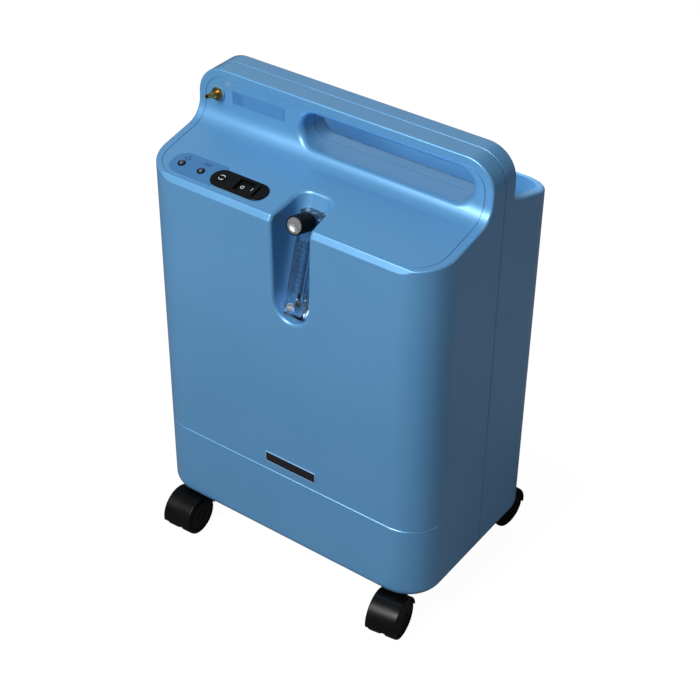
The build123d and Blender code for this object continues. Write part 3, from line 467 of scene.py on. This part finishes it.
def printed(name, outlines, place, low, high):
    """Flat raised shapes with bevelled edges on a surface, from low to high above it, in mm."""
    made = bmesh.new()
    for outline in outlines:
        middle = sum((Vector(point) for point in outline), Vector((0, 0))) / len(outline)
        foot = [made.verts.new((x, y, low)) for x, y in outline]
        head = []
        for point in outline:
            inset = Vector(point) + (middle - Vector(point)).normalized() * (high - low) * BEVEL_SHARE
            head.append(made.verts.new((*inset, high)))
        made.faces.new(head)
        made.faces.new(foot[::-1])
        for step in range(len(foot)):
            after = (step + 1) % len(foot)
            made.faces.new((foot[step], foot[after], head[after], head[step]))
    bmesh.ops.recalc_face_normals(made, faces=made.faces)
    made.transform(place)
    mesh = bpy.data.meshes.new(name)
    made.to_mesh(mesh)
    made.free()
    return mesh


# ---------------------------------------------------------------- measures of the detail pieces, in mm
METER_LEAN = math.radians(16)
DECK_SLOPE = 0.19
RIDGE_SLOPE = 0.0275
DECK = surface((0, -116.7, 503.4), (0, -DECK_SLOPE, 1))
RIDGE = surface((0, -15.8, 584), (0, -1, RIDGE_SLOPE))
METER = surface((0, -67, 512), (0, -math.cos(METER_LEAN), math.sin(METER_LEAN)))
FACE = surface((0, -120.5, 0), (0, -1, 0))

SCALE_ZERO = -106.0           # the lowest tick, up the meter's face
SCALE_STEP = 11.4             # from one digit to the next
SCALE_RAILS = (2.8, 10.3, 20.8)
SCALE_FACE = (15.0, 15.06)    # foot and top of the print, out from the meter's frame
RAIL_WIDTH = 1.0
TICK_WIDTH = 1.1
LONG_TICK, SHORT_TICK = 14.8, 13.2
RIGHT_TICK = 17.6
DIGIT_AT = 5.0
DIGIT_STRETCH = 1.25
DASH = (4.6, 9.2)             # the short dash that stands where there is no digit

CONTROLS_UP = 21.6            # the row of the breaker and the rocker, up the deck
ROCKER_X = -61.0
ROCKER_PIVOT_DEPTH = 3.0
ROCKER_VALLEY_DEPTH = 0.6
ROCKER_REST_TILT = -9.0       # degrees
ROCKER_HALF_TILT = 6.15       # of each half against the other, in degrees
MARK_OFFSET = 6.8
MARK_RISE = (-0.02, 0.08)
BREAKER_X = -95
BREAKER_TOP = (1.98, 2.08)

LENSES = (("alarm", -150.5, 20.9), ("service", -123.2, 20.3))
COLLAR_PROFILE = [(3.2, 0.3), (3.2, 1.2), (3.5, 1.5), (4.3, 1.3), (4.7, 0.3)]
SYMBOL_RISE = (0.4, 0.44)
ALARM_CORNERS = [(-153.4, 29.4), (-149.4, 35.4), (-145.4, 29.4)]
ALARM_CLAPPER = (-149.4, 28.6)
SERVICE_CENTRE = (-122.8, 32.4)

PLATE_LEFT, PLATE_RIGHT = -24.4, 45.0
PLATE_LOW, PLATE_HIGH = 170.9, 183.7
PLATE_RISE = (-0.1, 0.9)
STRIPE_START, STRIPE_STEP, STRIPES = -141.5, 1.8, 8
STRIPE_LOW, STRIPE_HIGH = -34.6, -21.4
STRIPE_RISE = (0.5, 0.54)

# side along x, side along y, and turn in degrees from straight ahead, or from straight back at the rear
CASTERS = {
    "front_left": (-1, -1, 2.4), "front_right": (1, -1, 7.5),
    "rear_left": (-1, 1, 7.5), "rear_right": (1, 1, -6.6),
}
STEM_X = 150
STEM_Y = 100
STEM_TRAIL = 20               # from the stem back to the axle
AXLE_UP = 25
WHEEL_GAP = 2.5               # from the caster's middle to the wheel profile's zero
WHEEL_PROFILE = [
    (3.1, 0.2), (22.5, 0.2), (24.2, 0.6), (25, 2.2), (25, 4.6), (24.75, 4.9), (25, 5.2), (25, 10.8),
    (24.75, 11.1), (25, 11.4), (25, 13.8), (24.4, 15.3), (22.6, 16), (21.2, 16), (20.6, 15.3), (19.6, 15.1),
    (18.9, 15.6), (13, 15.9), (8.6, 15.9), (8.2, 15.2), (7.4, 15.2), (6.9, 16), (0, 16),
]

SEGMENTS = {                  # strokes of a digit in a box 2 wide and 4 high
    "top": ((0, 4), (2, 4)), "middle": ((0, 2), (2, 2)), "bottom": ((0, 0), (2, 0)),
    "left_high": ((0, 2), (0, 4)), "left_low": ((0, 0), (0, 2)),
    "right_high": ((2, 2), (2, 4)), "right_low": ((2, 0), (2, 2)),
}
DIGITS = {
    1: ("right_high", "right_low"),
    2: ("top", "right_high", "middle", "left_low", "bottom"),
    3: ("top", "right_high", "middle", "right_low", "bottom"),
    4: ("left_high", "middle", "right_high", "right_low"),
    5: ("top", "left_high", "middle", "right_low", "bottom"),
}


# ---------------------------------------------------------------- detail pieces
def digit_strokes(digit, x, y, width):
    strokes = []
    for segment in DIGITS[digit]:
        (x0, y0), (x1, y1) = SEGMENTS[segment]
        start = (x + x0 * DIGIT_STRETCH, y + y0)
        end = (x + x1 * DIGIT_STRETCH, y + y1)
        strokes.append(stroke(start, end, width))
    return strokes


def closed_strokes(corners, width):
    return [stroke(a, b, width) for a, b in zip(corners, corners[1:] + corners[:1])]


def make_flow_scale():
    """The printed scale on the front of the flow meter: three rails, ticks and digits."""
    foot = SCALE_ZERO - 1
    top = SCALE_ZERO + SCALE_STEP * 5.15
    middle_rail, right_rail = SCALE_RAILS[1:]
    strokes = [stroke((x, foot), (x, top), RAIL_WIDTH) for x in SCALE_RAILS]
    for half_step in range(11):
        up = SCALE_ZERO + SCALE_STEP * half_step / 2
        whole = half_step % 2 == 0
        tick_end = LONG_TICK if whole else SHORT_TICK
        strokes.append(stroke((middle_rail, up), (tick_end, up), TICK_WIDTH))
        strokes.append(stroke((RIGHT_TICK, up), (right_rail, up), TICK_WIDTH))
        if whole and half_step:
            strokes += digit_strokes(half_step // 2, DIGIT_AT, up - 2, TICK_WIDTH)
        else:
            strokes.append(stroke((DASH[0], up), (DASH[1], up), TICK_WIDTH))
    mesh = printed("flow_scale", strokes, METER, *SCALE_FACE)
    add_piece("flow_scale", mesh, "print_dark", "machine")


def make_rocker_marks():
    """A raised O and I, one on each half of the rocker's shallow V."""
    pivot = DECK @ Matrix.Translation((ROCKER_X, CONTROLS_UP, -ROCKER_PIVOT_DEPTH))
    tilted = pivot @ Matrix.Rotation(math.radians(ROCKER_REST_TILT), 4, "Y")
    valley = tilted @ Matrix.Translation((0, 0, ROCKER_PIVOT_DEPTH - ROCKER_VALLEY_DEPTH))
    left = valley @ Matrix.Rotation(math.radians(ROCKER_HALF_TILT), 4, "Y")
    right = valley @ Matrix.Rotation(math.radians(-ROCKER_HALF_TILT), 4, "Y")
    ring = arc_strokes((-MARK_OFFSET, 0), radius=1.9, first=0, last=360, width=0.75, count=20)
    bar = [stroke((MARK_OFFSET, -2.3), (MARK_OFFSET, 2.3), 0.8)]
    for name, strokes, place in (("off_mark", ring, left), ("on_mark", bar, right)):
        mesh = printed(name, strokes, place, *MARK_RISE)
        add_piece(name, mesh, "print_white", "power_rocker")


def make_breaker_ring():
    """Two raised arcs on the top of the breaker button."""
    centre = (BREAKER_X, CONTROLS_UP)
    arcs = arc_strokes(centre, radius=3.5, first=25, last=150, width=0.8, count=10)
    arcs += arc_strokes(centre, radius=3.5, first=205, last=330, width=0.8, count=10)
    mesh = printed("breaker_ring", arcs, DECK, *BREAKER_TOP)
    add_piece("breaker_ring", mesh, "print_white", "breaker_button")


def make_indicator_trim():
    """A black collar round each indicator lens, and a small symbol above it."""
    for name, x, up in LENSES:
        mesh = turned(f"{name}_collar", COLLAR_PROFILE, DECK @ Matrix.Translation((x, up, 0)))
        add_piece(f"{name}_collar", mesh, "black_gloss", "machine")
    alarm = closed_strokes(ALARM_CORNERS, width=0.6)
    alarm += arc_strokes(ALARM_CLAPPER, radius=1.0, first=200, last=340, width=0.5, count=6)
    waves = arc_strokes(SERVICE_CENTRE, radius=1.3, first=0, last=360, width=0.5, count=14)
    for radius in (2.9, 4.2):
        waves += arc_strokes(SERVICE_CENTRE, radius, first=-45, last=45, width=0.5, count=8)
        waves += arc_strokes(SERVICE_CENTRE, radius, first=135, last=225, width=0.5, count=8)
    for name, strokes in (("alarm_symbol", alarm), ("service_symbol", waves)):
        mesh = printed(name, strokes, DECK, *SYMBOL_RISE)
        add_piece(name, mesh, "print_dark", "machine")


def make_label_trim():
    """A thin bright frame round the front plate and a band of fine stripes on the title label."""
    corners = [(PLATE_LEFT, PLATE_LOW), (PLATE_RIGHT, PLATE_LOW),
               (PLATE_RIGHT, PLATE_HIGH), (PLATE_LEFT, PLATE_HIGH)]
    mesh = printed("plate_frame", closed_strokes(corners, width=0.5), FACE, *PLATE_RISE)
    add_piece("plate_frame", mesh, "frame_blue", "machine")
    places = [STRIPE_START + STRIPE_STEP * step for step in range(STRIPES)]
    stripes = [stroke((x, STRIPE_LOW), (x, STRIPE_HIGH), 0.7) for x in places]
    mesh = printed("title_stripes", stripes, RIDGE, *STRIPE_RISE)
    add_piece("title_stripes", mesh, "stripe_blue", "machine")


def make_wheels():
    """Caster wheels with grooved treads, dished sides and a hub cap, in place of the plain CAD ones."""
    for corner, (sx, sy, angle) in CASTERS.items():
        heading = angle + (180 if sy > 0 else 0)
        stem = Matrix.Scale(MM, 4) @ Matrix.Translation((sx * STEM_X, sy * STEM_Y, 0))
        stem = stem @ Matrix.Rotation(math.radians(heading), 4, "Z")
        for side, sign in (("left", -1), ("right", 1)):
            inner = stem @ Matrix.Translation((sign * WHEEL_GAP, -STEM_TRAIL, AXLE_UP))
            outward = inner @ Matrix.Rotation(math.radians(sign * 90), 4, "Y")
            body = f"wheel_{corner}_{side}"
            node = f"caster_wheel_{corner}_{side}"
            mesh = turned(node, WHEEL_PROFILE, outward)
            wheel = add_piece(f"{node}_turned", mesh, "wheel", body)
            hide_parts(node)


make_camera()
make_studio()
make_floor()
make_materials()
dress_nodes()
make_flow_scale()
make_rocker_marks()
make_breaker_ring()
make_indicator_trim()
make_label_trim()
make_wheels()
